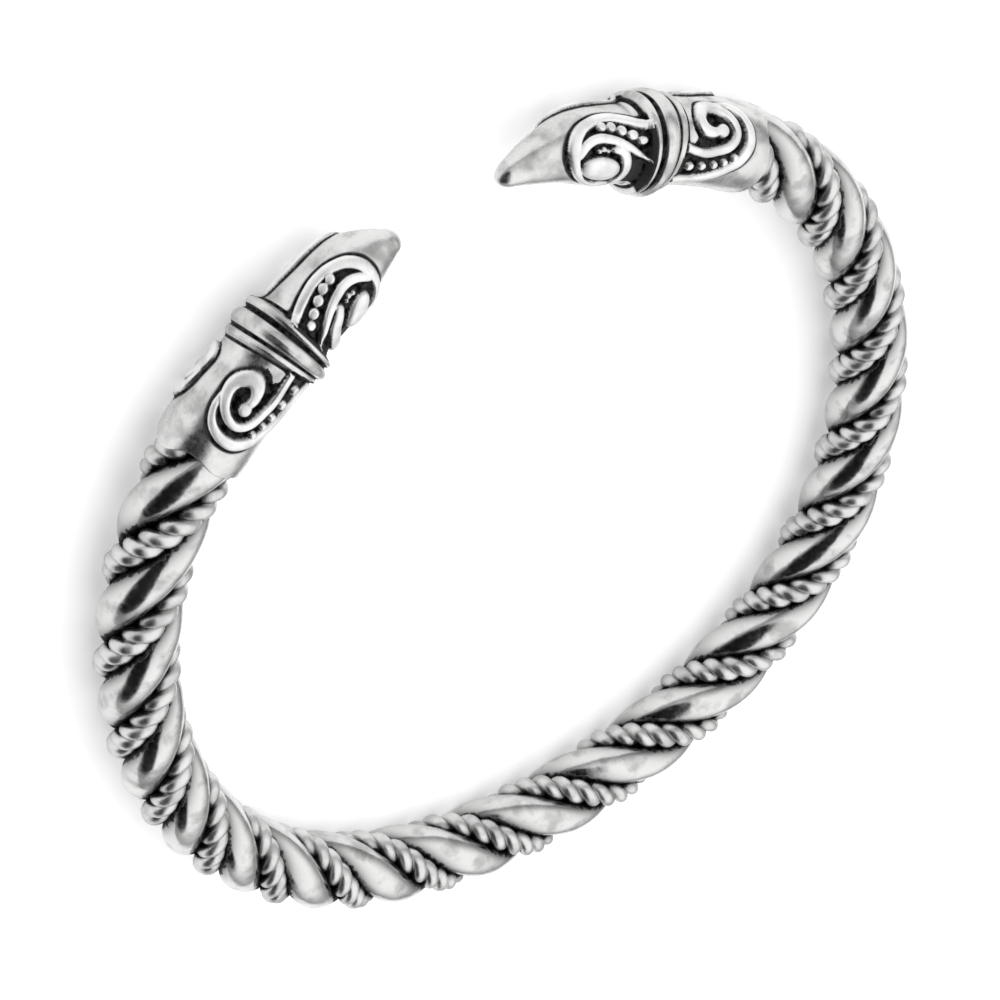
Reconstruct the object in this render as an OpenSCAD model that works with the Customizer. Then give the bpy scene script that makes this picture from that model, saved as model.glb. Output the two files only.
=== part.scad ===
// Open arm ring of twisted rope with a raven head at each end.
// The ring lies on its side. Its gap faces +Y and its back faces -Y.
// A place on the ring is a distance along the middle line of the rope, counted
// anticlockwise from the middle of the gap. A direction across the rope is an
// angle that starts at the outside of the ring and rises towards the upper side.

/* [Ring] */
// Free width inside the ring, from side to side
inner_w = 63; // [54:0.5:76]
// Free depth inside the ring, from the gap to the back
inner_d = 66; // [56:0.5:80]
// Swell of the outline at its diagonals, in percent
swell = 2; // [0:0.5:4]
// Distance between the two beak tips, along the ring
gap = 8; // [5:0.5:16]

/* [Rope] */
// Diameter of the twisted rope
rope_d = 6.6; // [5.6:0.1:7]
// Length of rope in which a strand goes once round
lay = 18.6; // [14:0.2:26]
// Angle of the first thin cord at the back of the ring
cord_turn = 127; // [0:1:180]
// Gap between two pieces that lie side by side
clearance = 0.1; // [0.06:0.01:0.16]

/* [Raven head] */
// Length of the beak
beak_l = 4.1; // [3.6:0.1:6]
// Length of the crown, from the beak to the collar
crown_l = 6.2; // [5.4:0.1:8]
// Length of the collar
collar_l = 3.3; // [2.6:0.1:4.4]
// Length of the neck, from the collar to the rope
neck_l = 9; // [8:0.1:11]
// Diameter of the beak where it meets the crown
beak_d = 4.7; // [4:0.1:5.4]
// Diameter of the crown
crown_d = 6.3; // [5.8:0.1:7]
// Diameter of the collar
collar_d = 8.1; // [7.8:0.1:9.4]
// Diameter of the neck
neck_d = 7.1; // [6.9:0.1:7.6]
// How far the beak tip stands out from the curve of the ring
beak_lift = 1.2; // [0:0.1:2]

/* [Relief] */
// Height of the raised bands and dots
relief_h = 0.35; // [0.2:0.05:0.5]
// Width of a raised band
band_w = 0.68; // [0.5:0.02:0.8]
// Diameter of a raised dot
dot_d = 0.7; // [0.5:0.02:0.8]
// Diameter of the knob in the middle of the neck scroll
knob_d = 1.2; // [0.8:0.1:1.4]
// Length of the eye
eye_l = 3.2; // [2.2:0.1:3.6]
// Width of the eye
eye_w = 2; // [1.2:0.1:2.2]

/* [Hidden] */

SILVER = [0.78, 0.78, 0.77];
DARK_SILVER = [0.62, 0.62, 0.61];

strand_sides = 10;
cord_sides = 8;
steps_per_lay = 12;
head_sides = 16;
dot_sides = 6;
eye_sides = 10;
outline_steps = 180;

// Middle line of the rope
rope_r = rope_d / 2;
half_w = inner_w / 2 + rope_r;
half_d = inner_d / 2 + rope_r;
function outline(t) =
    let (k = 1 + swell / 100 * (1 - cos(4 * t)) / 2)
    [half_w * k * cos(t), half_d * k * sin(t), 0];

// Distance along the middle line, beside the angle that it reaches
function turn_at(i) = 90 + i * 360 / outline_steps;
outline_parts = [
    for (i = [0:outline_steps - 1])
        norm(outline(turn_at(i + 1)) - outline(turn_at(i)))
];
distances = [
    for (
        i = 0, d = 0;
        i <= outline_steps;
        d = d + (i < outline_steps ? outline_parts[i] : 0), i = i + 1
    ) [d, turn_at(i)]
];
loop_l = distances[outline_steps][0];

// Centre, outward direction and upward direction of the rope at a distance
UP = [0, 0, 1];
function centre(d) = outline(lookup(d, distances));
function outward(d) =
    let (
        t = lookup(d, distances),
        ahead = outline(t + 0.5) - outline(t - 0.5)
    )
    cross(ahead, UP) / norm(ahead);
function across(d, angle) = outward(d) * cos(angle) + UP * sin(angle);

// Rope: two thick strands and two thin cords that turn round the middle line
head_l = beak_l + crown_l + collar_l + neck_l;
rope_start = gap / 2 + head_l + clearance;
rope_l = loop_l - 2 * rope_start;
rope_steps = ceil(rope_l / lay * steps_per_lay);
thick_r = (rope_r - clearance / 2) / 2;
cord_r = rope_d / 6 - clearance / 2;

// Share by which a slanted strand is wider round the rope than it is deep
thick_slant = 1.02;
cord_slant = 1.06;

// Outline of one strand in a cut across the rope
function strand_ring(d, turn, r, slant, sides) =
    let (
        angle = turn - (d - loop_l / 2) / lay * 360,
        out = across(d, angle),
        round = across(d, angle + 90)
    )
    [
        for (j = [0:sides - 1])
            let (a = j * 360 / sides)
            centre(d) + out * (rope_r - r + r * cos(a))
                + round * (r * slant * sin(a))
    ];

module strand(turn, r, slant, sides) {
    skin([
        for (i = [0:rope_steps])
            strand_ring(
                rope_start + rope_l * i / rope_steps, turn, r, slant, sides
            )
    ]);
}

// Closed solid through a row of rings that all have as many points
module skin(rings) {
    m = len(rings[0]);
    n = len(rings);
    polyhedron(
        points = [for (ring = rings) each ring],
        faces = concat(
            [[for (j = [m - 1:-1:0]) j]],
            [
                for (i = [0:n - 2], j = [0:m - 1])
                    let (a = i * m + j, b = i * m + (j + 1) % m)
                    each [[a, b, b + m], [a, b + m, a + m]]
            ],
            [[for (j = [0:m - 1]) (n - 1) * m + j]]
        )
    );
}

// Sections of the raven head, from the tip of the beak to the rope.
// Columns: place along the part, radius, lift. They are shares of the part's
// length, of the part's own radius and of beak_lift.
BEAK = [
    [0.00, 0.12, 0.50],
    [0.03, 0.27, 0.52],
    [0.08, 0.38, 0.55],
    [0.21, 0.49, 0.63],
    [0.50, 0.70, 0.79],
    [0.96, 0.96, 0.92],
];
CROWN = [
    [0.00, 0.72, 0.90],
    [0.05, 0.77, 0.90],
    [0.22, 0.89, 0.88],
    [0.42, 0.97, 0.82],
    [0.66, 1.00, 0.66],
    [0.92, 1.00, 0.38],
];
COLLAR = [
    [0.00, 0.86, 0.20],
    [0.06, 0.92, 0.18],
    [0.16, 0.92, 0.15],
    [0.23, 0.86, 0.12],
    [0.30, 0.86, 0.10],
    [0.37, 0.95, 0.08],
    [0.50, 1.00, 0.05],
    [0.63, 0.99, 0.02],
    [0.73, 0.93, 0.00],
    [0.79, 0.86, 0.00],
    [0.86, 0.90, 0.00],
    [0.94, 0.90, 0.00],
    [1.00, 0.85, 0.00],
];
NECK = [
    [0.02, 0.95, 0.00],
    [0.25, 0.97, 0.00],
    [0.50, 1.00, 0.00],
    [0.85, 1.00, 0.00],
    [1.00, 0.98, 0.00],
];
function sections(rows, start, length, d) = [
    for (row = rows)
        [start + row[0] * length, row[1] * d / 2, row[2] * beak_lift]
];
crown_start = beak_l;
collar_start = crown_start + crown_l;
neck_start = collar_start + collar_l;
HEAD = concat(
    sections(BEAK, 0, beak_l, beak_d),
    sections(CROWN, crown_start, crown_l, crown_d),
    sections(COLLAR, collar_start, collar_l, collar_d),
    sections(NECK, neck_start, neck_l, neck_d)
);
head_radius = [for (row = HEAD) [row[0], row[1]]];
head_lift = [for (row = HEAD) [row[0], row[2]]];

// Point of the head at a distance from the beak tip, h above the surface
function head_point(x, angle, h = 0) =
    let (d = gap / 2 + x)
    centre(d) + outward(d) * lookup(x, head_lift)
        + across(d, angle) * (lookup(x, head_radius) + h);

module head_body() {
    skin([
        for (row = HEAD)
            [
                for (j = [0:head_sides - 1])
                    head_point(row[0], j * 360 / head_sides)
            ]
    ]);
}

// Lines of the ornament on one side of the head, from hand-set points.
// Columns: place along the part as a share of its length, angle.
CROWN_EDGE = [
    [1.00, 39], [0.89, 31], [0.75, 25], [0.60, 21], [0.45, 21], [0.31, 26],
    [0.18, 35], [0.08, 53], [0.05, 77], [0.09, 103], [0.26, 126], [0.55, 127],
];
CROWN_BAND = [
    [1.00, 83], [0.86, 72], [0.72, 60], [0.57, 52], [0.43, 48], [0.30, 48],
    [0.20, 55], [0.12, 66],
];
CROWN_FORK = [[0.60, 66], [0.67, 75], [0.73, 87], [0.75, 100], [0.71, 113]];
CROWN_DOTS = [[0.94, 58], [0.82, 49], [0.69, 42], [0.57, 36], [0.45, 34]];
EYE = [0.38, 91];
NECK_SCROLL = [
    [0.00, 71], [0.12, 79], [0.25, 82], [0.38, 77], [0.48, 69], [0.54, 57],
    [0.53, 44], [0.47, 32], [0.39, 24], [0.30, 22], [0.22, 27], [0.17, 38],
    [0.18, 49], [0.24, 55], [0.32, 54],
];
SCROLL_KNOB = [0.40, 50];
NECK_EDGE = [
    [0.00, 114], [0.20, 112], [0.39, 106], [0.54, 97], [0.64, 86],
    [0.70, 70], [0.69, 51], [0.61, 32], [0.50, 20], [0.38, 16],
];
NECK_DOTS = [[0.10, 98], [0.22, 98], [0.34, 96], [0.44, 92], [0.54, 86]];

function on_crown(row) = [crown_start + row[0] * crown_l, row[1]];
function on_neck(row) = [neck_start + row[0] * neck_l, row[1]];

// Raised band along a line: a ridge with a flat top that narrows upwards
band_top = 0.55;
band_root = 0.24;
function band_ring(line, i) =
    let (
        here = line[i],
        before = line[max(i - 1, 0)],
        after = line[min(i + 1, len(line) - 1)],
        ahead = head_point(after[0], after[1]) - head_point(before[0], before[1]),
        up = across(gap / 2 + here[0], here[1]),
        side = cross(ahead, up) / norm(cross(ahead, up)),
        middle = head_point(here[0], here[1])
    )
    [
        for (corner = [[-1, -band_root], [1, -band_root], [1, 0], [-1, 0]])
            middle + side * corner[0] * band_w / 2
                * (corner[1] < 0 ? 1 : band_top)
                + up * (corner[1] < 0 ? -band_root : relief_h)
    ];

module band(line) {
    skin([for (i = [0:len(line) - 1]) band_ring(line, i)]);
}

// Puts a flat-lying shape on the surface of the head
module on_head(place) {
    d = gap / 2 + place[0];
    up = across(d, place[1]);
    round = across(d, place[1] + 90);
    ahead = cross(up, round);
    p = head_point(place[0], place[1]);
    multmatrix([
        [ahead.x, round.x, up.x, p.x],
        [ahead.y, round.y, up.y, p.y],
        [ahead.z, round.z, up.z, p.z],
    ]) children();
}

// Low dome with an oval outline; the eye rises more than the bands
dome_top = 0.6;
skin_h = 0.01;
eye_rise = 1.4;
module dome(length, width, height, sides) {
    hull() {
        translate([0, 0, -band_root]) scale([length, width, 1])
            cylinder(h = band_root, d = 1, $fn = sides);
        translate([0, 0, height - skin_h])
            scale([length * dome_top, width * dome_top, 1])
            cylinder(h = skin_h, d = 1, $fn = sides);
    }
}

module ornament() {
    band([for (row = CROWN_EDGE) on_crown(row)]);
    band([for (row = CROWN_BAND) on_crown(row)]);
    band([for (row = CROWN_FORK) on_crown(row)]);
    band([for (row = NECK_SCROLL) on_neck(row)]);
    band([for (row = NECK_EDGE) on_neck(row)]);
    for (row = CROWN_DOTS) on_head(on_crown(row))
        dome(dot_d, dot_d, relief_h, dot_sides);
    for (row = NECK_DOTS) on_head(on_neck(row))
        dome(dot_d, dot_d, relief_h, dot_sides);
    on_head(on_neck(SCROLL_KNOB)) dome(knob_d, knob_d, relief_h, dot_sides);
    on_head(on_crown(EYE)) dome(eye_l, eye_w, relief_h * eye_rise, eye_sides);
}

module raven_head() {
    union() {
        head_body();
        ornament();
        mirror(UP) ornament();
    }
}

// The ring rests on both collars and on the back of the rope
collar_crest = [for (row = COLLAR) if (row[1] == 1) row[0]][0];
collar_y = centre(gap / 2 + collar_start + collar_crest * collar_l).y;
rest_tilt = atan((collar_d / 2 - rope_r) / (collar_y + half_d));
rest_h = half_d * sin(rest_tilt) + rope_r * cos(rest_tilt);
front_y = max([for (row = HEAD) head_point(row[0], 0).y]);
shift_y = (half_d + rope_r - front_y) / 2;
module laid() {
    translate([0, shift_y, rest_h]) rotate([rest_tilt, 0, 0]) children();
}

module thick_strand_a() {
    color(SILVER) laid()
        strand(cord_turn + 90, thick_r, thick_slant, strand_sides);
}

module thick_strand_b() {
    color(SILVER) laid()
        strand(cord_turn - 90, thick_r, thick_slant, strand_sides);
}

module thin_cord_a() {
    color(DARK_SILVER) laid()
        strand(cord_turn, cord_r, cord_slant, cord_sides);
}

module thin_cord_b() {
    color(DARK_SILVER) laid()
        strand(cord_turn + 180, cord_r, cord_slant, cord_sides);
}

module raven_head_left() {
    color(SILVER) laid() raven_head();
}

module raven_head_right() {
    color(SILVER) laid() mirror([1, 0, 0]) raven_head();
}

thick_strand_a();
thick_strand_b();
thin_cord_a();
thin_cord_b();
raven_head_left();
raven_head_right();
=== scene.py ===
"""Open viking arm ring: a rope of four silver strands between two raven heads."""

import math

import bmesh
import bpy
import numpy as np
from bpy.props import FloatProperty, FloatVectorProperty, PointerProperty
from bpy.types import Operator, Panel, PropertyGroup
from mathutils import Matrix


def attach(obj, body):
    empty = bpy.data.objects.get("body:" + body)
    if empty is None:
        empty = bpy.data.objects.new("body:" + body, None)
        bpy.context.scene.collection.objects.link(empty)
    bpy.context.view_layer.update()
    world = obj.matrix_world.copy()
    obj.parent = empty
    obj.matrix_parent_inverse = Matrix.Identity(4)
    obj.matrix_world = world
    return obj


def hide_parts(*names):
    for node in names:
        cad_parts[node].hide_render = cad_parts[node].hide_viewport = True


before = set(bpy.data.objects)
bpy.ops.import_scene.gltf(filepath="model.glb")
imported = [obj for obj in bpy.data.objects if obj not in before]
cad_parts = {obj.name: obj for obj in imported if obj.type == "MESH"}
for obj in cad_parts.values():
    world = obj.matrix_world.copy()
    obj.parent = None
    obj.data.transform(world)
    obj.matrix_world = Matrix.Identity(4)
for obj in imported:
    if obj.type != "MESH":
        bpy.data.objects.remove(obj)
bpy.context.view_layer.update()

bl_info = {
    "name": "Viking Arm Ring",
    "version": (1, 0, 0),
    "blender": (4, 5, 0),
    "location": "3D View > Sidebar > Arm Ring",
    "description": "Open arm ring of twisted silver strands with two raven heads",
    "category": "Add Mesh",
}

MM = 0.001
UP = np.array([0.0, 0.0, 1.0])

# How finely the pieces are drawn
OUTLINE_STEPS = 180
STRAND_AROUND = 32
STRAND_STEP = 0.19 * MM
PLY_AROUND = 14
PLY_STEP = 0.115 * MM
HEAD_AROUND = 272
HEAD_ALONG = 318
PROFILE_STEP = 0.02 * MM
LINE_STEPS = 8
MERGE_DISTANCE = 0.0005 * MM

# Thickness of a thin cord as a share of the rope's
CORD_SHARE = 1 / 3

# Where the patina of the rope is black and where it ends, as shares of its radius; the
# black is patina and partly painted shade beside the strands
STRAND_GROOVE = (0.66, 1.02)
CORD_GROOVE = (0.64, 0.94)

# How black the sunk grounds are, where a deep groove is 1
GROUND_TONE = 0.8

# How far a place lies under its surroundings where patina and painted shade start and
# where they are black
CAVITY = (0.015 * MM, 0.09 * MM)
CAVITY_REACH = 4
CAVITY_ROUNDS = 3

# How the patina lies on each kind of piece: how deep a place lies where it starts, how
# strong the grey film is, and how deep a place lies where the patina turns black. Up to
# where the patina starts, the grey deepens as painted shade, and the black is partly
# painted shade too.
PATINA = {
    "bright_strand": (0.48, 0.50, 0.50),
    "twisted_cord": (0.55, 0.40, 0.60),
    "antique_head": (0.55, 0.55, 0.88),
}
PATINA_BLUR = 0.05
BLACK_BLUR = 0.2
RAGGED_EDGE = 0.1
WORN_ROUGHNESS = 0.1

# Burnished tops of the ornament, with a painted highlight: how metallic they are, how
# much rougher than the plain silver, and how much of the grey film they keep
TOP_METAL = 0.72
TOP_ROUGHNESS = 0.18
TOP_FILM = 0.5

# Noises in the silver. Columns: size as a multiple of the grain, detail, and the lowest
# and highest value that shows.
RAGGED_NOISE = (1.5, 4.0, 0.30, 0.70)
STAIN_NOISE = (5.0, 3.0, 0.42, 0.72)
WEAR_NOISE = (1.0, 3.0, 0.30, 0.70)

# Marks in the surface. Columns: size as a multiple of the grain, detail, depth.
SOFT_DENTS = (7.0, 1.0, 0.22 * MM)
FINE_MARKS = (1.6, 5.0, 0.022 * MM)
PATINA_CRUST = (0.6, 2.0, 0.06 * MM)
MARK_STRENGTH = 0.5

# Floor: its reach from the middle, the size of its faint clouds, and how dark they are
FLOOR_REACH = 1.5
FLOOR_GRAIN = 25 * MM
FLOOR_DETAIL = 2.0
FLOOR_SHADE = 0.99
FLOOR_ROUGHNESS = 0.9

# Height at which the room is fully bright, where straight up is 1
ROOM_BRIGHT_ABOVE = 0.75

# Softness of the dark wall's edge, as a share of its reach
WALL_BLUR = 0.09

# Camera sensor in millimetres, and the nearest and farthest that the camera sees
SENSOR_WIDTH = 36
CLIP = (0.01, 10)


# Sizes and colours that a user would change


def size_of(name, description, millimetres):
    return FloatProperty(
        name=name,
        description=description,
        default=millimetres * MM,
        subtype="DISTANCE",
        unit="LENGTH",
        precision=5,
    )


def angle_of(name, description, degrees):
    return FloatProperty(
        name=name,
        description=description,
        default=math.radians(degrees),
        subtype="ANGLE",
        unit="ROTATION",
    )


def share_of(name, description, share):
    return FloatProperty(
        name=name,
        description=description,
        default=share,
        min=0.0,
        max=1.0,
        subtype="FACTOR",
    )


def level_of(name, description, level):
    return FloatProperty(name=name, description=description, default=level, min=0.0)


def colour_of(name, description, colour):
    return FloatVectorProperty(
        name=name,
        description=description,
        default=colour,
        size=3,
        min=0.0,
        max=1.0,
        subtype="COLOR",
    )


class RingSizes(PropertyGroup):
    """Sizes of the open ring"""

    inner_width: size_of("Inner width", "Width of the wrist opening", 63)
    inner_depth: size_of(
        "Inner depth", "Depth of the wrist opening, from the gap to the back", 66
    )
    swell: share_of(
        "Swell", "How far the outline stands out at its four shoulders", 0.02
    )
    gap: size_of("Gap", "Opening between the beak tips", 8)


class RopeSizes(PropertyGroup):
    """Sizes of the twisted rope"""

    diameter: size_of("Rope diameter", "Thickness over the thick strands", 6.6)
    lay: size_of("Lay", "Length of one full turn of the strands", 18.6)
    cord_turn: angle_of(
        "Cord turn", "Turn of the first thin cord at the back of the ring", 127
    )
    clearance: size_of("Clearance", "Small gap between neighbouring strands", 0.1)
    strand_depth: size_of("Strand depth", "Depth of a thick strand", 3.22)
    strand_width: size_of("Strand width", "Width of a thick strand", 3.42)
    ply_diameter: size_of("Ply diameter", "Thickness of one ply of a thin cord", 1.3)
    ply_offset: size_of("Ply offset", "How far a ply lies from its cord's middle", 0.5)
    ply_lay: size_of("Ply lay", "Length of one turn of the two plies", 3.6)
    hidden_end: size_of("Hidden end", "Length of rope that sits in each neck", 1.2)


class HeadSizes(PropertyGroup):
    """Sizes of a raven head"""

    beak_length: size_of("Beak length", "Length of the smooth beak", 4.1)
    crown_length: size_of("Crown length", "Length of the part with the eye", 6.2)
    collar_length: size_of("Collar length", "Length of the collar rings", 3.3)
    neck_length: size_of("Neck length", "Length of the neck with the scroll", 9)
    beak_diameter: size_of("Beak diameter", "Thickness at the root of the beak", 4.7)
    crown_diameter: size_of("Crown diameter", "Thickness of the crown", 6.3)
    collar_diameter: size_of("Collar diameter", "Thickness of the wide ring", 8.1)
    neck_diameter: size_of("Neck diameter", "Thickness of the neck", 7.1)
    beak_lift: size_of("Beak lift", "How far the beak stands outwards", 1.2)
    neck_wave: size_of("Neck wave", "Depth of the waves in the neck's edge", 0.35)
    neck_lip: size_of("Neck lip", "Depth of the hollow that the rope sits in", 0.9)


class ReliefSizes(PropertyGroup):
    """Sizes of the cast ornament"""

    height: size_of("Relief height", "How far the bands stand out", 0.34)
    band_width: size_of("Band width", "Width of a full band at its foot", 0.72)
    ground_depth: size_of("Ground depth", "How far the dark ground is sunk", 0.12)
    dot_diameter: size_of("Dot diameter", "Width of a dot at its foot", 0.74)
    eye_length: size_of("Eye length", "Length of the eye", 3.3)
    eye_width: size_of("Eye width", "Width of the eye", 2.0)


class SilverFinish(PropertyGroup):
    """Colours and polish of the antiqued silver"""

    bright: colour_of("Bright silver", "Polished silver", (0.63, 0.63, 0.625))
    # Colour of the ornament's tops: a burnish with a painted highlight, lighter than
    # the bright silver
    burnish_and_highlight: colour_of("Burnished", "Tops of the ornament", (0.86, 0.86, 0.855))
    # Grey of a real thin film spread by noise, and of painted shade that greys the
    # silver towards the grooves and the feet of the ornament
    film_and_shade: colour_of("Worn silver", "Silver with a thin grey film", (0.15, 0.15, 0.148))
    ground: colour_of("Ground", "Grey patina on the sunk grounds", (0.07, 0.07, 0.07))
    # Black of the patina, which is also painted shade in the rope's grooves and at the
    # feet of the ornament
    black: colour_of("Patina", "Blackened silver in the grooves", (0.004, 0.004, 0.004))
    strand_polish: share_of("Strand polish", "Roughness of the thick strands", 0.14)
    cord_polish: share_of("Cord polish", "Roughness of the thin cords", 0.3)
    head_polish: share_of("Head polish", "Roughness of the raven heads", 0.24)
    patina_roughness: share_of("Patina roughness", "Roughness of the patina", 0.5)
    grain: size_of("Grain", "Size of the fine marks on the surface", 0.35)


class StageSettings(PropertyGroup):
    """Floor, lights and camera"""

    floor: colour_of("Floor", "Pale floor", (0.93, 0.93, 0.93))
    azimuth: angle_of("Azimuth", "Direction from the ring to the camera", 109.69)
    elevation: angle_of("Elevation", "Height of the camera over the floor", 37.17)
    roll: angle_of("Roll", "Turn of the camera about its line of sight", 222.36)
    distance: size_of("Distance", "Distance from the camera to the ring", 256.63)
    aim_x: size_of("Aim X", "Where the camera looks, to the side", -1.491)
    aim_y: size_of("Aim Y", "Where the camera looks, towards the gap", 4.626)
    lens: FloatProperty(
        name="Lens",
        description="Focal length in millimetres on a 36 mm wide sensor",
        default=115.91,
        subtype="DISTANCE_CAMERA",
        unit="CAMERA",
    )
    light_level: level_of("Light level", "Brightness of the white room", 1.4)
    horizon_level: share_of("Horizon level", "How bright the room is low down", 0.3)
    floor_glow: level_of("Floor glow", "Light that comes up through the floor", 0.42)
    wall_level: level_of("Wall level", "Brightness of the dark wall", 0.01)
    wall_azimuth: angle_of("Wall azimuth", "Direction of the dark wall", 172)
    wall_elevation: angle_of("Wall elevation", "Height of the dark wall", 32)
    wall_width: angle_of("Wall width", "Width of the dark wall", 124)
    wall_height: angle_of("Wall height", "Depth of the dark wall", 58)


class ArmRingSettings(PropertyGroup):
    """Everything that can be set on the arm ring"""

    ring: PointerProperty(type=RingSizes)
    rope: PointerProperty(type=RopeSizes)
    head: PointerProperty(type=HeadSizes)
    relief: PointerProperty(type=ReliefSizes)
    finish: PointerProperty(type=SilverFinish)
    stage: PointerProperty(type=StageSettings)


# Middle line of the ring


def unit(vectors):
    return vectors / np.linalg.norm(vectors, axis=-1, keepdims=True)


class RingPath:
    """Middle line of the ring, read by the distance from the middle of the gap."""

    def __init__(self, settings):
        ring = settings.ring
        self.radius = settings.rope.diameter / 2
        self.half_width = ring.inner_width / 2 + self.radius
        self.half_depth = ring.inner_depth / 2 + self.radius
        self.swell = ring.swell
        self.half_gap = ring.gap / 2
        self.turns = np.radians(np.linspace(90, 450, OUTLINE_STEPS + 1))
        chords = np.diff(self.outline(self.turns), axis=0)
        lengths = np.linalg.norm(chords, axis=1)
        self.distances = np.concatenate([[0.0], np.cumsum(lengths)])
        self.length = self.distances[-1]

    def outline(self, turn):
        reach = 1 + self.swell * (1 - np.cos(4 * turn)) / 2
        x = self.half_width * reach * np.cos(turn)
        y = self.half_depth * reach * np.sin(turn)
        return np.stack([x, y, np.zeros_like(x)], axis=-1)

    def turn(self, distance):
        return np.interp(distance, self.distances, self.turns)

    def centre(self, distance):
        return self.outline(self.turn(distance))

    def outward(self, distance):
        turn = self.turn(distance)
        half_step = math.radians(0.5)
        ahead = self.outline(turn + half_step) - self.outline(turn - half_step)
        return unit(np.cross(ahead, UP))

    def across(self, distance, angle):
        """Direction across the ring: 0 is outwards and a quarter turn is up"""
        flat = self.outward(distance) * np.cos(angle)[..., None]
        return flat + UP * np.sin(angle)[..., None]


def head_length(head):
    return head.beak_length + head.crown_length + head.collar_length + head.neck_length


def rope_range(path, settings):
    """Where the visible rope starts and ends along the ring"""
    start = path.half_gap + head_length(settings.head) + settings.rope.clearance
    return start, path.length - start


# Sections of the raven head, from the tip of the beak to the rope.
# Columns: place along the part, radius, lift. They are shares of the part's
# length, of the part's own radius and of the beak lift.
BEAK = [
    [0.00, 0.31, 0.55],
    [0.21, 0.43, 0.66],
    [0.50, 0.65, 0.80],
    [0.96, 0.95, 0.90],
]
CROWN = [
    [0.00, 0.72, 0.90],
    [0.05, 0.77, 0.90],
    [0.22, 0.88, 0.84],
    [0.42, 0.94, 0.70],
    [0.66, 0.95, 0.47],
    [0.84, 0.94, 0.28],
    [0.97, 0.92, 0.16],
]
COLLAR = [
    [0.00, 0.85, 0.20],
    [0.05, 0.93, 0.18],
    [0.11, 0.96, 0.16],
    [0.19, 0.95, 0.15],
    [0.26, 0.88, 0.13],
    [0.30, 0.88, 0.11],
    [0.38, 0.96, 0.08],
    [0.50, 1.00, 0.05],
    [0.63, 0.99, 0.02],
    [0.71, 0.94, 0.00],
    [0.77, 0.88, 0.00],
    [0.83, 0.92, 0.00],
    [0.93, 0.93, 0.00],
    [1.00, 0.86, 0.00],
]
NECK = [
    [0.02, 0.93, 0.00],
    [0.25, 0.95, 0.00],
    [0.50, 0.98, 0.00],
    [0.85, 1.00, 0.00],
    [1.00, 0.98, 0.00],
]


def head_sections(head):
    """Rows of place, radius and lift along the whole head"""
    rows = []
    start = 0.0
    for part, length, diameter in (
        (BEAK, head.beak_length, head.beak_diameter),
        (CROWN, head.crown_length, head.crown_diameter),
        (COLLAR, head.collar_length, head.collar_diameter),
        (NECK, head.neck_length, head.neck_diameter),
    ):
        for place, radius, lift in part:
            rows.append(
                [start + place * length, radius * diameter / 2, lift * head.beak_lift]
            )
        start += length
    return np.array(rows)


def rest_matrix(path, settings):
    """The ring rests on both collars and on the back of the rope"""
    head = settings.head
    widest = max(COLLAR, key=lambda row: row[1])[0]
    crest = head.beak_length + head.crown_length + widest * head.collar_length
    collar_y = path.centre(np.array([path.half_gap + crest]))[0, 1]
    rise = head.collar_diameter / 2 - path.radius
    tilt = math.atan(rise / (collar_y + path.half_depth))
    height = path.half_depth * math.sin(tilt) + path.radius * math.cos(tilt)
    rows = head_sections(head)
    places = path.half_gap + rows[:, 0]
    reach = rows[:, 1] + rows[:, 2]
    front = path.centre(places) + path.outward(places) * reach[:, None]
    shift = (path.half_depth + path.radius - front[:, 1].max()) / 2
    return Matrix.Translation((0, shift, height)) @ Matrix.Rotation(tilt, 4, "X")


# Meshes


def wrapped_grid(points, hollow):
    """Closed skin over rings of points: a grid is wrapped round and its ends filled

    points has a row for each ring and a column for each place round it, and
    hollow is 1 in a deep groove, 0 on plain silver and -1 on a top with a burnish and a
    painted highlight; the grooves hold patina and painted shade.
    """
    rings, around = hollow.shape
    bm = bmesh.new()
    bmesh.ops.create_grid(bm, x_segments=around, y_segments=rings - 1, size=0.5)
    layer = bm.verts.layers.float.new("hollow")
    for vert in bm.verts:
        column = round((vert.co.x + 0.5) * around) % around
        row = round((vert.co.y + 0.5) * (rings - 1))
        vert.co = points[row, column]
        vert[layer] = hollow[row, column]
    bmesh.ops.remove_doubles(bm, verts=bm.verts, dist=MERGE_DISTANCE)
    bmesh.ops.holes_fill(bm, edges=bm.edges, sides=0)
    bmesh.ops.recalc_face_normals(bm, faces=bm.faces)
    return bm


def tube(line, outward, half_depth, half_width, around, hollow_of):
    """Oval tube along a line; outward is the direction of its depth"""
    ahead = unit(np.gradient(line, axis=0))
    depth = unit(outward - ahead * np.sum(outward * ahead, axis=1, keepdims=True))
    side = np.cross(ahead, depth)
    angle = np.linspace(0, 2 * np.pi, around, endpoint=False)[None, :, None]
    offset = depth[:, None] * half_depth * np.cos(angle)
    offset = offset + side[:, None] * half_width * np.sin(angle)
    points = line[:, None] + offset
    return wrapped_grid(points, hollow_of(points))


def join(target, part):
    """Adds the faces of one bmesh to another"""
    mesh = bpy.data.meshes.new("part")
    part.to_mesh(mesh)
    part.free()
    target.from_mesh(mesh)
    bpy.data.meshes.remove(mesh)


def add_piece(name, bm, matrix, node, material):
    """Puts a finished mesh in the scene in place of its CAD node"""
    bm.transform(matrix)
    bmesh.ops.recalc_face_normals(bm, faces=bm.faces)
    for face in bm.faces:
        face.smooth = True
    mesh = bpy.data.meshes.new(name)
    bm.to_mesh(mesh)
    bm.free()
    mesh.materials.append(material)
    piece = bpy.data.objects.new(name, mesh)
    bpy.context.scene.collection.objects.link(piece)
    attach(piece, "root")
    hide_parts(node)


def soft_step(value, low, high):
    share = np.clip((value - low) / (high - low), 0, 1)
    return share * share * (3 - 2 * share)


# Rope


def lay_angle(path, rope, distance, turn):
    """Where a strand lies round the rope; it turns as it goes along"""
    return turn - (distance - path.length / 2) / rope.lay * 2 * np.pi


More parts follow.
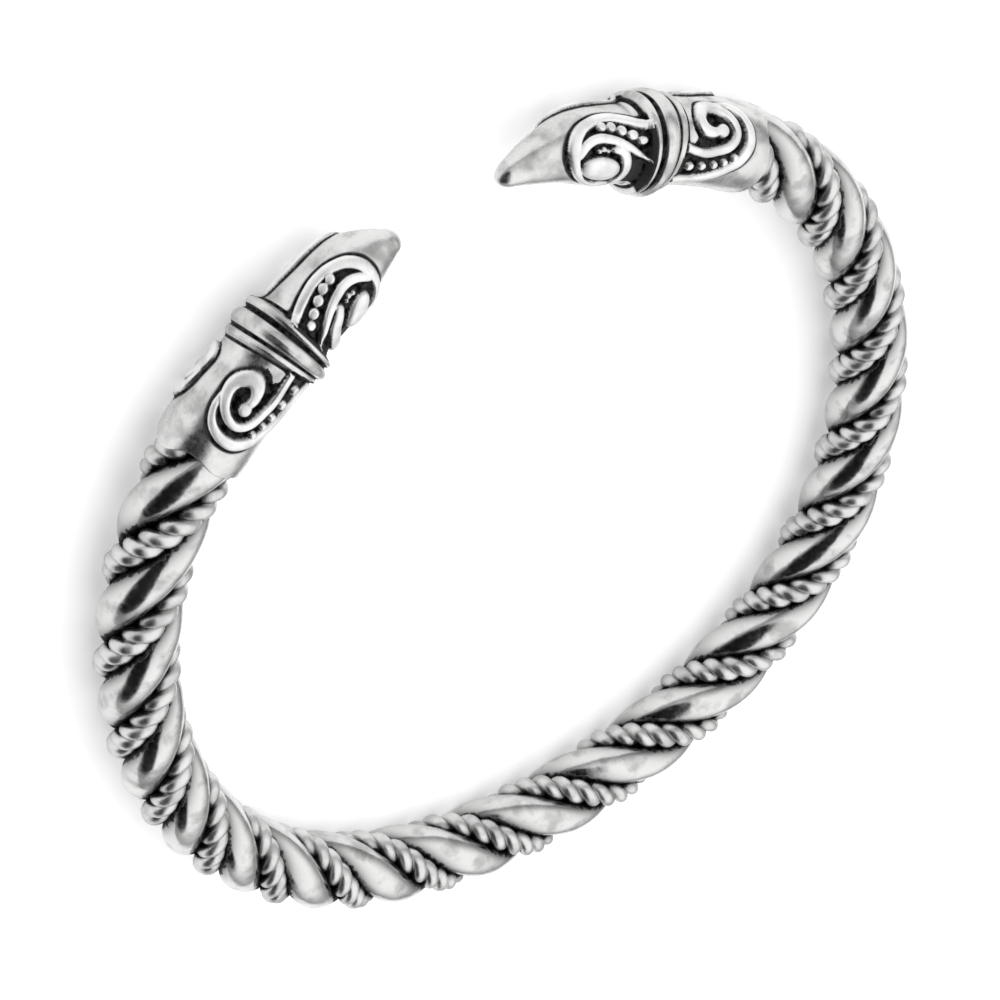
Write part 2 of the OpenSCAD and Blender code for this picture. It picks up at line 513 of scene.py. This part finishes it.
def strand_places(path, settings, step):
    """Distances along the ring, from inside one neck to inside the other"""
    start, end = rope_range(path, settings)
    start -= settings.rope.hidden_end
    end += settings.rope.hidden_end
    return np.linspace(start, end, round((end - start) / step) + 1)


def groove_depth(path, places, groove):
    """Patina and painted shade by how deep a point lies in the rope"""
    axis = path.centre(places)[:, None]

    def hollow_of(points):
        reach = np.linalg.norm(points - axis, axis=-1) / path.radius
        return 1 - soft_step(reach, *groove)

    return hollow_of


def thick_strand(path, settings, turn):
    rope = settings.rope
    places = strand_places(path, settings, STRAND_STEP)
    angle = lay_angle(path, rope, places, turn)
    out = path.across(places, angle)
    line = path.centre(places) + out * (path.radius - rope.strand_depth / 2)
    return tube(
        line,
        out,
        rope.strand_depth / 2,
        rope.strand_width / 2,
        STRAND_AROUND,
        groove_depth(path, places, STRAND_GROOVE),
    )


def thin_cord(path, settings, turn):
    """Two plies twisted round each other, which turn with the rope"""
    rope = settings.rope
    places = strand_places(path, settings, PLY_STEP)
    angle = lay_angle(path, rope, places, turn)
    out = path.across(places, angle)
    cord_radius = (rope.diameter * CORD_SHARE - rope.clearance) / 2
    middle = path.centre(places) + out * (path.radius - cord_radius)
    ahead = unit(np.gradient(middle, axis=0))
    side = np.cross(ahead, out)
    steps = np.linalg.norm(np.diff(middle, axis=0), axis=1)
    along = np.concatenate([[0.0], np.cumsum(steps)])
    cord = bmesh.new()
    for start in (0.0, np.pi):
        ply_turn = start + along / rope.ply_lay * 2 * np.pi
        out_part = out * np.cos(ply_turn)[:, None]
        direction = out_part + side * np.sin(ply_turn)[:, None]
        ply = tube(
            middle + direction * rope.ply_offset,
            direction,
            rope.ply_diameter / 2,
            rope.ply_diameter / 2,
            PLY_AROUND,
            groove_depth(path, places, CORD_GROOVE),
        )
        join(cord, ply)
    return cord


# Lines of the ornament on one side of the head, from listed points.
# Columns: place along the part as a share of its length, angle, width as a
# share of the full band width.
CROWN_EDGE = [
    [1.04, 41, 0.90], [0.90, 32, 1.05], [0.76, 25, 1.15], [0.62, 21, 1.20],
    [0.46, 21, 1.20], [0.32, 25, 1.25], [0.20, 32, 1.35], [0.11, 45, 1.35],
    [0.06, 62, 1.30], [0.05, 82, 1.10], [0.08, 102, 0.95], [0.17, 119, 0.85],
    [0.34, 129, 0.75], [0.56, 127, 0.50],
]
CROWN_BAND = [
    [1.02, 86, 0.20], [0.88, 76, 0.65], [0.77, 67, 0.85], [0.67, 60, 1.00],
    [0.57, 55, 1.05], [0.48, 52, 1.10], [0.40, 50, 1.10], [0.30, 51, 1.10],
    [0.20, 57, 1.05], [0.10, 69, 1.00],
]
CROWN_DOTS = [
    [0.91, 57, 0.90], [0.81, 49, 1.05], [0.69, 42, 1.10], [0.57, 36, 1.10],
    [0.45, 34, 1.05],
]
EYE_BITS = [[0.35, 68, 0.50], [0.41, 66, 0.60], [0.46, 69, 0.45]]
NECK_SCROLL = [
    [-0.04, 70, 0.90], [0.12, 78, 0.95], [0.23, 81, 1.05], [0.34, 78, 1.10],
    [0.44, 74, 1.10], [0.51, 66, 1.05], [0.54, 55, 1.00], [0.52, 43, 1.05],
    [0.47, 32, 1.15], [0.40, 24, 1.35], [0.33, 20, 1.55], [0.26, 21, 1.70],
    [0.21, 27, 1.75], [0.18, 36, 1.70], [0.19, 45, 1.55], [0.23, 52, 1.40],
    [0.29, 55, 1.20], [0.34, 54, 1.00],
]
SCROLL_KNOB = [0.39, 53, 1.45]
NECK_EDGE = [
    [-0.04, 120, 0.80], [0.15, 119, 0.85], [0.29, 116, 0.95], [0.42, 108, 1.05],
    [0.52, 98, 1.20], [0.60, 89, 1.35], [0.65, 78, 1.40], [0.68, 67, 1.35],
    [0.68, 54, 1.25], [0.66, 42, 1.15], [0.62, 31, 1.05], [0.56, 23, 0.95],
    [0.48, 18, 0.85], [0.39, 16, 0.60],
]
NECK_DOTS = [
    [0.10, 98, 0.85], [0.22, 98, 0.85], [0.34, 96, 0.85], [0.44, 92, 0.80],
    [0.54, 85, 0.85],
]

# What differs between the two hand-finished heads.
# fork: line of the crown's forked band, with the columns of the bands above.
# eye: place, angle, lean and size.
# band: degrees by which the crown's inner band is turned.
# turns: degrees by which the ornament is turned on the upper and on the lower side.
# spread: how wide the neck's ornament lies on the upper side.
# collar: for its front and its back, the millimetres that it sits back in all, on the
# outer side and on the upper side.
# longer: millimetres that the beak is longer.
HEADS = {
    "left": {
        "fork": [
            [0.58, 72, 1.10], [0.65, 80, 1.30], [0.74, 88, 1.35], [0.80, 99, 1.35],
            [0.84, 111, 1.30], [0.86, 121, 1.10],
        ],
        "eye": [0.42, 99, 28, 0.86],
        "band": 3,
        "turns": {"crown": (1, 13), "neck": (14, 2)},
        "spread": 0.91,
        "collar": [[0.78, -0.25, -0.60], [0.15, 0.17, -0.75]],
        "longer": -1.0,
    },
    "right": {
        "fork": [
            [0.50, 68, 0.25], [0.56, 68, 0.80], [0.64, 69, 1.20], [0.69, 77, 1.30],
            [0.71, 89, 1.30], [0.70, 101, 1.20], [0.64, 114, 0.95], [0.56, 122, 0.70],
        ],
        "eye": [0.36, 95, 2, 1.0],
        "band": 0,
        "turns": {"crown": (-3, 10), "neck": (-6, 9)},
        "spread": 1.0,
        "collar": [[0.15, 0.35, 0.00], [-0.20, 0.80, 0.00]],
        "longer": 0.75,
    },
}

# Edges of the sunk grounds. Columns: place along the part, angle.
CROWN_GROUND = [row[:2] for row in CROWN_EDGE] + [[0.75, 132], [1.04, 134]]
NECK_GROUND = [row[:2] for row in NECK_EDGE] + [
    [0.30, 11], [0.20, 14], [0.12, 22], [0.09, 32], [0.08, 42], [0.10, 52],
    [0.14, 61], [0.10, 69], [-0.02, 68],
]


def inside(x, y, outline):
    """True where a point lies inside a closed outline"""
    within = np.zeros(x.shape, bool)
    for (x0, y0), (x1, y1) in zip(outline, outline[1:] + outline[:1]):
        if y0 != y1:
            crosses = (y0 > y) != (y1 > y)
            within ^= crosses & (x < (x1 - x0) * (y - y0) / (y1 - y0) + x0)
    return within


def smooth_line(rows):
    """Rounded line through the rows of a table"""
    rows = np.array(rows, float)
    padded = np.concatenate([rows[:1], rows, rows[-1:]])
    share = np.linspace(0, 1, LINE_STEPS, endpoint=False)[:, None]
    parts = []
    for before, here, after, beyond in zip(padded, padded[1:], padded[2:], padded[3:]):
        straight = (after - before) * share
        bend = (2 * before - 5 * here + 4 * after - beyond) * share**2
        turn = (3 * here - before - 3 * after + beyond) * share**3
        parts.append(here + (straight + bend + turn) / 2)
    return np.concatenate(parts + [rows[-1:]])


# Columns of the head's sections
RADIUS, LIFT = 1, 2

# How many steps of the profile are softened together: on the collar rings, elsewhere,
# and for the mean outline that the rings stand out of
RING_SOFTENING = 13
PLAIN_SOFTENING = 67
MEAN_SOFTENING = 121

# How far before and after the collar its rings run into the plain head, and how far
# before and after it the head follows its slant
RING_FADES = (0.3 * MM, 0.5 * MM)
SLANT_FADES = (2 * MM, 2.5 * MM)

# How far the ornament runs onto the collar rings
ORNAMENT_FADE = 0.2 * MM

# Round tip of the beak, and the stretch over which the relief rises from it
TIP_ROUNDING = 0.8 * MM
TIP_PLAIN = 1 * MM

# Waves of the neck's edge. Columns: how many go round, turn, share of the depth.
NECK_WAVES = ((3, 0.6, 1.0), (5, 0.0, 0.5))
EDGE_REACH = 2.5 * MM

# Hollow end of the neck: the share of the rows that lies outside it, the thickness of
# its rim, and how far in it is black
OUTER_SHARE = 0.955
RIM_DEPTH = 0.45 * MM
RIM_BLACK_FROM = 0.5

# Heights as shares of the relief height
EYE_HEIGHT = 1.5
BIT_HEIGHT = 0.5
GROUND_ENDS = 0.3
# Heights over which a top turns to a burnish with a painted highlight
BURNISHED_HIGHLIGHT = (0.6, 0.9)

# Backs of the ornament: the larger, the flatter
BAND_FLATNESS = 3
DOT_FLATNESS = 5.0
EYE_FLATNESS = 3.5

# Share of its widest width under which a band gets lower
TAPER_BELOW = 0.625


class HeadSurface:
    """Raven head on a grid: a row for each place along it, a column for each angle"""

    def __init__(self, path, settings):
        self.path = path
        self.head = settings.head
        self.relief = settings.relief
        self.rows = head_sections(self.head)
        self.length = head_length(self.head)
        self.fine = np.arange(-2 * MM, self.length + 2 * MM, PROFILE_STEP)
        self.crown_start = self.head.beak_length
        self.collar_start = self.crown_start + self.head.crown_length
        self.neck_start = self.collar_start + self.head.collar_length
        angle = np.linspace(0, 2 * np.pi, HEAD_AROUND, endpoint=False)
        along = np.linspace(0, 1, HEAD_ALONG)
        self.angle, self.share = np.meshgrid(angle, along)

    def build(self, look):
        """Points of one head, as a left one, and how hollow each is, with patina and
        painted shade, or how far it is a top with a burnish and a painted highlight
        """
        self.lay_out(look)
        full = self.relief.height
        height = self.ornament_height(look) * self.off_collar()
        bare = 1 - np.clip(height / (GROUND_ENDS * full), 0, 1)
        sunk = self.ground() * bare
        rise = height - sunk * self.relief.ground_depth
        return self.placed(look, rise), self.patina(height / full, sunk, rise)

    def lay_out(self, look):
        """Places of the grid on the plain head, with the waves of the neck's edge"""
        wave = sum(
            share * np.cos(count * self.angle + turn)
            for count, turn, share in NECK_WAVES
        )
        outer = np.clip(self.share / OUTER_SHARE, 0, 1) * self.length
        self.inner = np.clip((self.share - OUTER_SHARE) / (1 - OUTER_SHARE), 0, 1)
        near_edge = soft_step(outer, self.length - EDGE_REACH, self.length)
        self.x = outer + (wave - 1) * self.head.neck_wave * near_edge
        self.side_angle = self.turned_angle(look["turns"], look["spread"])
        self.flat = self.straight_points(self.x, self.side_angle)

    def ornament_height(self, look):
        """Height of the bands, the dots and the eye"""
        relief = self.relief
        inner_band, bits = (
            [[x, angle + look["band"], share] for x, angle, share in rows]
            for rows in (CROWN_BAND, EYE_BITS)
        )
        heights = [
            self.band_height(part, line)
            for part, line in (
                ("crown", CROWN_EDGE),
                ("crown", inner_band),
                ("crown", look["fork"]),
                ("neck", NECK_SCROLL),
                ("neck", NECK_EDGE),
            )
        ]
        for part, rows, height in (
            ("crown", CROWN_DOTS, relief.height),
            ("neck", NECK_DOTS + [SCROLL_KNOB], relief.height),
            ("crown", bits, relief.height * BIT_HEIGHT),
        ):
            for x, angle, share in rows:
                size = [relief.dot_diameter * share] * 2
                heights.append(self.dome_height(part, [x, angle], size, height))
        x, angle, lean, share = look["eye"]
        size = [relief.eye_length * share, relief.eye_width * share]
        height = relief.height * EYE_HEIGHT
        heights.append(
            self.dome_height("crown", [x, angle], size, height, lean, EYE_FLATNESS)
        )
        return np.maximum.reduce(heights)

    def ground(self):
        """1 where the ground of the ornament is sunk, 0 elsewhere"""
        sunk = np.zeros(self.x.shape)
        for part, rows in (("crown", CROWN_GROUND), ("neck", NECK_GROUND)):
            outline = self.places(part, rows).tolist()
            sunk = np.maximum(sunk, inside(self.x, self.side_angle, outline))
        return sunk

    def patina(self, height, sunk, rise):
        """1 in a deep groove, 0 on plain silver and -1 on a top with a burnish and a
        painted highlight; the grooves hold patina and painted shade
        """
        # Patina and painted shade where a place lies below its surroundings
        cavity = self.cavity(self.collar_relief(self.x) + rise)
        rim = soft_step(self.inner, 0, RIM_BLACK_FROM)
        hollow = np.maximum.reduce([cavity, sunk * GROUND_TONE, rim])
        # Tops of the ornament: a burnish with a painted highlight
        burnish_and_highlight = soft_step(height, *BURNISHED_HIGHLIGHT)
        return hollow * (1 - burnish_and_highlight) - burnish_and_highlight

    def placed(self, look, rise):
        """Points along the ring, with the collar's slant and the neck's hollow end"""
        head = self.head
        tip = np.clip(self.x / TIP_ROUNDING, 0, 1)
        surface = self.profile(self.x, RADIUS) * np.sqrt(1 - (1 - tip) ** 2)
        surface += rise * np.clip(self.x / TIP_PLAIN, 0, 1)
        surface -= RIM_DEPTH * (1 - (1 - self.inner) ** 2)
        x = self.x - self.inner * head.neck_lip
        longer = look["longer"] * MM * np.clip(1 - x / head.beak_length, 0, 1)
        distance = self.path.half_gap + x + self.slanted(x, look["collar"]) - longer
        lift = self.path.outward(distance) * self.profile(x, LIFT)[..., None]
        reach = self.path.across(distance, self.angle) * surface[..., None]
        return self.path.centre(distance) + lift + reach

    def profile(self, x, column):
        """Radius or lift at a place, with the corners between sections rounded"""
        sharp, soft, ringed = self.softened(column, PLAIN_SOFTENING)
        return np.interp(x, self.fine, soft + (sharp - soft) * ringed)

    def collar_relief(self, x):
        """How far the collar rings stand out of their mean outline"""
        sharp, soft, ringed = self.softened(RADIUS, MEAN_SOFTENING)
        return np.interp(x, self.fine, (sharp - soft) * ringed)

    def softened(self, column, softening):
        """Section values, a little and much softened, and how far they are collar"""
        values = np.interp(self.fine, self.rows[:, 0], self.rows[:, column])
        sharp, soft = (
            np.convolve(values, kernel / kernel.sum(), "same")
            for kernel in (np.hanning(RING_SOFTENING), np.hanning(softening))
        )
        return sharp, soft, self.near_collar(self.fine, RING_FADES)

    def near_collar(self, x, fades):
        """1 on the collar, going to 0 over a length before it and one after it"""
        before, after = fades
        start, end = self.collar_start, self.neck_start
        near = soft_step(x, start - before, start)
        return near * (1 - soft_step(x, end, end + after))

    def slanted(self, x, collar):
        """How far back the surface lies near the slanting collar"""
        along = np.clip((x - self.collar_start) / self.head.collar_length, 0, 1)
        front, back = (
            whole + outer * np.cos(self.angle) + upper * np.sin(self.angle)
            for whole, outer, upper in collar
        )
        near = self.near_collar(x, SLANT_FADES)
        return near * (front + (back - front) * along) * MM

    def off_collar(self):
        """1 off the collar rings and 0 on them"""
        onto, off = (
            soft_step(self.x, start, start + ORNAMENT_FADE)
            for start in (self.collar_start, self.neck_start)
        )
        return 1 - onto + off

    def turned_angle(self, turns, spread):
        """Angle from the outside, less what the ornament is turned by"""
        signed = (self.angle + np.pi) % (2 * np.pi) - np.pi
        before_collar = self.x < (self.collar_start + self.neck_start) / 2
        upper, lower = (
            np.where(before_collar, crown, neck)
            for crown, neck in zip(turns["crown"], turns["neck"])
        )
        turned = np.abs(signed) - np.radians(np.where(signed > 0, upper, lower))
        return np.where((signed > 0) & ~before_collar, turned / spread, turned)

    def places(self, part, rows):
        """Rows of a table with their place and angle on the head"""
        start, length = {
            "crown": (self.crown_start, self.head.crown_length),
            "neck": (self.neck_start, self.head.neck_length),
        }[part]
        rows = np.array(rows, float)
        rows[:, 0] = start + rows[:, 0] * length
        rows[:, 1] = np.radians(rows[:, 1])
        return rows

    def straight_points(self, x, angle):
        """Places on the head as if its middle line were straight"""
        radius = self.profile(x, RADIUS)
        return np.stack([x, radius * np.cos(angle), radius * np.sin(angle)], axis=-1)

    def band_height(self, part, rows):
        """Height of a raised band with a low round back and steep sides"""
        line = smooth_line(self.places(part, rows))
        ends = self.straight_points(line[:, 0], line[:, 1])
        halves = line[:, 2] * self.relief.band_width / 2
        full = TAPER_BELOW * halves.max()
        height = np.zeros(self.x.shape)
        for start, end, half0, half1 in zip(ends, ends[1:], halves, halves[1:]):
            run = end - start
            reach = half0 + np.linalg.norm(run)
            near = np.abs(self.x[:, 0] - start[0]) < reach
            points = self.flat[near]
            share = np.clip(((points - start) @ run) / (run @ run), 0, 1)
            gap = np.linalg.norm(points - start - share[..., None] * run, axis=-1)
            half = half0 + (half1 - half0) * share
            back = np.sqrt(1 - np.clip(gap / half, 0, 1) ** BAND_FLATNESS)
            height[near] = np.maximum(height[near], back * np.minimum(1, half / full))
        return height * self.relief.height

    def dome_height(self, part, place, size, height, lean=0, flatness=DOT_FLATNESS):
        """Height of one oval dome, which leans by some degrees"""
        x, angle = self.places(part, [place])[0]
        cos, sin = math.cos(math.radians(lean)), math.sin(math.radians(lean))
        along = self.x - x
        aside = (self.side_angle - angle) * self.profile(x, RADIUS)
        length, width = size
        share = np.hypot(
            (along * cos + aside * sin) / (length / 2),
            (aside * cos - along * sin) / (width / 2),
        )
        return height * np.sqrt(np.clip(1 - share**flatness, 0, 1))

    def cavity(self, surface):
        """Share of patina and painted shade by how far a place lies below its
        surroundings
        """
        around = blurred(surface, CAVITY_REACH, CAVITY_ROUNDS)
        return soft_step(around - surface, *CAVITY)


def blurred(values, reach, rounds):
    """Local mean on a grid whose columns go round"""
    for _ in range(rounds):
        padded = np.pad(values, ((reach, reach), (0, 0)), mode="edge")
        rows = len(values)
        shifts = [padded[shift : shift + rows] for shift in range(2 * reach + 1)]
        values = np.mean(shifts, axis=0)
        turns = [np.roll(values, shift, axis=1) for shift in range(-reach, reach + 1)]
        values = np.mean(turns, axis=0)
    return values


# Finishes


class Wiring:
    """Shader nodes of one material or world"""

    def __init__(self, tree):
        self.tree = tree
        self.place = self.node("ShaderNodeTexCoord").outputs

    def node(self, kind):
        return self.tree.nodes.new(kind)

    def feed(self, socket, value):
        """Links a socket to an output, or sets it to a number or colour"""
        if isinstance(value, bpy.types.NodeSocket):
            self.tree.links.new(value, socket)
        else:
            socket.default_value = value

    def fed(self, node, **values):
        """Feeds a node, Base_Color being its Base Color, and gives its first output"""
        for name, value in values.items():
            self.feed(node.inputs[name.replace("_", " ")], value)
        return node.outputs[0]

    def noise(self, size, detail):
        texture = self.node("ShaderNodeTexNoise")
        place = self.place["Object"]
        return self.fed(texture, Scale=1 / size, Detail=detail, Vector=place)

    def ranged(self, value, low, high, to_low, to_high, kind="SMOOTHSTEP"):
        """Value with its range from low to high made one from to_low to to_high"""
        node = self.node("ShaderNodeMapRange")
        node.interpolation_type = kind
        self.fed(node, Value=value, From_Min=low, From_Max=high)
        return self.fed(node, To_Min=to_low, To_Max=to_high)

    def combined(self, operation, *values):
        node = self.node("ShaderNodeMath")
        node.operation = operation
        for socket, value in zip(node.inputs, values):
            self.feed(socket, value)
        return node.outputs["Value"]

    def blended(self, factor, first, second):
        """Colour between two colours"""
        node = self.node("ShaderNodeMix")
        node.data_type = "RGBA"
        sockets = [s for s in node.inputs if s.type == "RGBA"]
        for socket, value in zip(sockets, (first, second)):
            self.feed(socket, value)
        self.feed(node.inputs["Factor"], factor)
        return next(s for s in node.outputs if s.type == "RGBA")


def new_material(name):
    material = bpy.data.materials.new(name)
    material.use_nodes = True
    tree = material.node_tree
    return material, Wiring(tree), tree.nodes["Principled BSDF"]


def opaque(colour):
    return (*colour, 1.0)


def antique_silver(name, finish, polish):
    """Polished silver with black patina and painted shade in the hollows, a thin grey
    film, and tops with a burnish and a painted highlight
    """
    material, wiring, shader = new_material(name)
    ranged, combined, blended = wiring.ranged, wiring.combined, wiring.blended
    patina_from, film, black_from = PATINA[name]

    def spread(noise, low, high):
        """Values from low to high, by one of the noises in the silver"""
        size, detail, start, end = noise
        return ranged(wiring.noise(finish.grain * size, detail), start, end, low, high)

    attribute = wiring.node("ShaderNodeAttribute")
    attribute.attribute_name = "hollow"
    hollow = attribute.outputs["Fac"]
    depth = combined("ADD", hollow, spread(RAGGED_NOISE, -RAGGED_EDGE, RAGGED_EDGE))
    patina = ranged(depth, patina_from - PATINA_BLUR, patina_from + PATINA_BLUR, 0, 1)
    deep = ranged(depth, black_from, black_from + BLACK_BLUR, 0, 1)
    stain = spread(STAIN_NOISE, 0, film)
    # Painted shade: grey that grows linearly from plain silver towards the grooves, the
    # deeper a place lies
    shade = ranged(hollow, 0, patina_from, 0, 1, "LINEAR")
    # Painted highlight on the tops of the ornament, with a real burnish: lighter, less
    # metallic and rougher
    top = ranged(hollow, -1, 0, 1, 0, "LINEAR")

    film_and_shade, burnish_and_highlight = opaque(finish.film_and_shade), opaque(finish.burnish_and_highlight)
    # The silver turns grey by the real film or by the painted shade, whichever is
    # stronger
    skin = blended(combined("MAXIMUM", stain, shade), opaque(finish.bright), film_and_shade)
    dark = blended(deep, opaque(finish.ground), opaque(finish.black))
    # Painted highlight: colour of the tops, lighter than the silver, with some of the
    # grey film
    painted_highlight = blended(combined("MULTIPLY", stain, TOP_FILM), burnish_and_highlight, film_and_shade)
    colour = blended(top, blended(patina, skin, dark), painted_highlight)
    # Less metal on the tops, so that their painted highlight shows white
    metal = ranged(hollow, -1, 0, TOP_METAL, 1, "LINEAR")
    rough = combined("ADD", spread(WEAR_NOISE, 0, WORN_ROUGHNESS), polish)
    for share, rougher in (
        (patina, finish.patina_roughness),
        (top, TOP_ROUGHNESS),
    ):
        rough = combined("ADD", rough, combined("MULTIPLY", share, rougher))

    normal = None
    for (size, detail, distance), where in (
        (SOFT_DENTS, None),
        (FINE_MARKS, None),
        (PATINA_CRUST, patina),
    ):
        height = wiring.noise(finish.grain * size, detail)
        if where:
            height = combined("MULTIPLY", height, where)
        bump = wiring.node("ShaderNodeBump")
        if normal:
            wiring.fed(bump, Normal=normal)
        normal = wiring.fed(
            bump, Strength=MARK_STRENGTH, Distance=distance, Height=height
        )
    wiring.fed(shader, Base_Color=colour, Metallic=metal, Roughness=rough)
    wiring.fed(shader, Normal=normal)
    return material


# Stage


def add_floor(stage):
    material, wiring, shader = new_material("pale_floor")
    pale = opaque(stage.floor)
    clouds = wiring.noise(FLOOR_GRAIN, FLOOR_DETAIL)
    shaded = opaque([share * FLOOR_SHADE for share in stage.floor])
    colour = wiring.blended(clouds, shaded, pale)
    wiring.fed(shader, Base_Color=colour, Roughness=FLOOR_ROUGHNESS)
    wiring.fed(shader, Specular_IOR_Level=0)
    wiring.fed(shader, Emission_Color=pale, Emission_Strength=stage.floor_glow)
    bm = bmesh.new()
    bmesh.ops.create_grid(bm, x_segments=1, y_segments=1, size=FLOOR_REACH)
    mesh = bpy.data.meshes.new("floor")
    bm.to_mesh(mesh)
    bm.free()
    mesh.materials.append(material)
    floor = bpy.data.objects.new("floor", mesh)
    bpy.context.scene.collection.objects.link(floor)


def add_world(stage):
    """White room with one dark wall, which the polished metal mirrors"""
    world = bpy.data.worlds.new("studio")
    world.use_nodes = True
    wiring = Wiring(world.node_tree)
    combined, ranged = wiring.combined, wiring.ranged

    turned = wiring.node("ShaderNodeMapping")
    turned.inputs["Rotation"].default_value[2] = -stage.wall_azimuth
    split = wiring.node("ShaderNodeSeparateXYZ")
    wiring.fed(split, Vector=wiring.fed(turned, Vector=wiring.place["Generated"]))
    x, y, z = split.outputs

    aside = combined("DIVIDE", combined("ARCTAN2", y, x), stage.wall_width / 2)
    above = combined("SUBTRACT", combined("ARCSINE", z), stage.wall_elevation)
    above = combined("DIVIDE", above, stage.wall_height / 2)
    square = combined("MULTIPLY", aside, aside)
    reach = combined("SQRT", combined("MULTIPLY_ADD", above, above, square))

    dim = stage.light_level * stage.horizon_level
    room = ranged(z, 0, ROOM_BRIGHT_ABOVE, dim, stage.light_level)
    wall = ranged(reach, 1 - WALL_BLUR, 1 + WALL_BLUR, stage.wall_level, 1)
    background = world.node_tree.nodes["Background"]
    strength = combined("MULTIPLY", room, wall)
    wiring.fed(background, Color=opaque((1, 1, 1)), Strength=strength)
    bpy.context.scene.world = world


def add_camera(stage, rest):
    """Camera at the photograph's angle"""
    level = math.cos(stage.elevation)
    back = np.array([
        level * math.cos(stage.azimuth),
        level * math.sin(stage.azimuth),
        math.sin(stage.elevation),
    ])
    level_right = unit(np.cross(-back, UP))
    level_down = np.cross(-back, level_right)
    turn, lean = math.cos(stage.roll), math.sin(stage.roll)
    right = turn * level_right + lean * level_down
    down = -lean * level_right + turn * level_down
    place = np.array([stage.aim_x, stage.aim_y, 0]) + stage.distance * back
    lens = bpy.data.cameras.new("camera")
    lens.sensor_width = SENSOR_WIDTH
    lens.lens = stage.lens
    lens.clip_start, lens.clip_end = CLIP
    camera = bpy.data.objects.new("camera", lens)
    columns = np.eye(4)
    columns[:3, 0], columns[:3, 1], columns[:3, 2] = right, -down, back
    columns[:3, 3] = place
    camera.matrix_world = rest @ Matrix(columns.tolist())
    bpy.context.scene.collection.objects.link(camera)
    bpy.context.scene.camera = camera


# Operators


def set_out(context):
    """Settings, middle line and resting place of the ring"""
    settings = context.scene.arm_ring
    path = RingPath(settings)
    return settings, path, rest_matrix(path, settings)


class ARMRING_OT_stage(Operator):
    """Add the floor, the lights and the camera"""

    bl_idname = "armring.stage"
    bl_label = "Add stage"

    def execute(self, context):
        settings, _, rest = set_out(context)
        add_floor(settings.stage)
        add_world(settings.stage)
        add_camera(settings.stage, rest)
        context.scene.view_settings.view_transform = "Standard"
        return {"FINISHED"}


class ARMRING_OT_thick_strands(Operator):
    """Add the two smooth round strands of the rope"""

    bl_idname = "armring.thick_strands"
    bl_label = "Add thick strands"

    def execute(self, context):
        settings, path, rest = set_out(context)
        finish = settings.finish
        material = antique_silver("bright_strand", finish, finish.strand_polish)
        quarter = math.pi / 2
        for letter, turn in (("a", quarter), ("b", -quarter)):
            add_piece(
                "smooth_strand_" + letter,
                thick_strand(path, settings, settings.rope.cord_turn + turn),
                rest,
                "thick_strand_" + letter,
                material,
            )
        return {"FINISHED"}


class ARMRING_OT_thin_cords(Operator):
    """Add the two thin cords, each twisted from two plies"""

    bl_idname = "armring.thin_cords"
    bl_label = "Add thin cords"

    def execute(self, context):
        settings, path, rest = set_out(context)
        finish = settings.finish
        material = antique_silver("twisted_cord", finish, finish.cord_polish)
        for letter, turn in (("a", 0), ("b", math.pi)):
            add_piece(
                "twisted_cord_" + letter,
                thin_cord(path, settings, settings.rope.cord_turn + turn),
                rest,
                "thin_cord_" + letter,
                material,
            )
        return {"FINISHED"}


class ARMRING_OT_raven_heads(Operator):
    """Add the two raven heads with their collars, necks and ornament"""

    bl_idname = "armring.raven_heads"
    bl_label = "Add raven heads"

    def execute(self, context):
        settings, path, rest = set_out(context)
        finish = settings.finish
        material = antique_silver("antique_head", finish, finish.head_polish)
        surface = HeadSurface(path, settings)
        for side, across in (("left", 1), ("right", -1)):
            points, hollow = surface.build(HEADS[side])
            add_piece(
                "raven_" + side,
                wrapped_grid(points * [across, 1, 1], hollow),
                rest,
                "raven_head_" + side,
                material,
            )
        return {"FINISHED"}


class ARMRING_PT_panel(Panel):
    """Arm ring settings and pieces"""

    bl_label = "Arm Ring"
    bl_idname = "ARMRING_PT_panel"
    bl_space_type = "VIEW_3D"
    bl_region_type = "UI"
    bl_category = "Arm Ring"

    def draw(self, context):
        layout = self.layout
        settings = context.scene.arm_ring
        for group in ("ring", "rope", "head", "relief", "finish", "stage"):
            box = layout.box()
            box.label(text=group.capitalize())
            sizes = getattr(settings, group)
            for name in type(sizes).__annotations__:
                box.prop(sizes, name)
        for operator in OPERATORS:
            layout.operator(operator.bl_idname)


OPERATORS = (
    ARMRING_OT_stage,
    ARMRING_OT_thick_strands,
    ARMRING_OT_thin_cords,
    ARMRING_OT_raven_heads,
)
CLASSES = (
    RingSizes,
    RopeSizes,
    HeadSizes,
    ReliefSizes,
    SilverFinish,
    StageSettings,
    ArmRingSettings,
    *OPERATORS,
    ARMRING_PT_panel,
)


def register():
    for cls in CLASSES:
        bpy.utils.register_class(cls)
    bpy.types.Scene.arm_ring = PointerProperty(type=ArmRingSettings)


def unregister():
    del bpy.types.Scene.arm_ring
    for cls in reversed(CLASSES):
        bpy.utils.unregister_class(cls)


def main():
    register()
    bpy.ops.armring.stage()
    bpy.ops.armring.thick_strands()
    bpy.ops.armring.thin_cords()
    bpy.ops.armring.raven_heads()


if __name__ == "__main__":
    main()
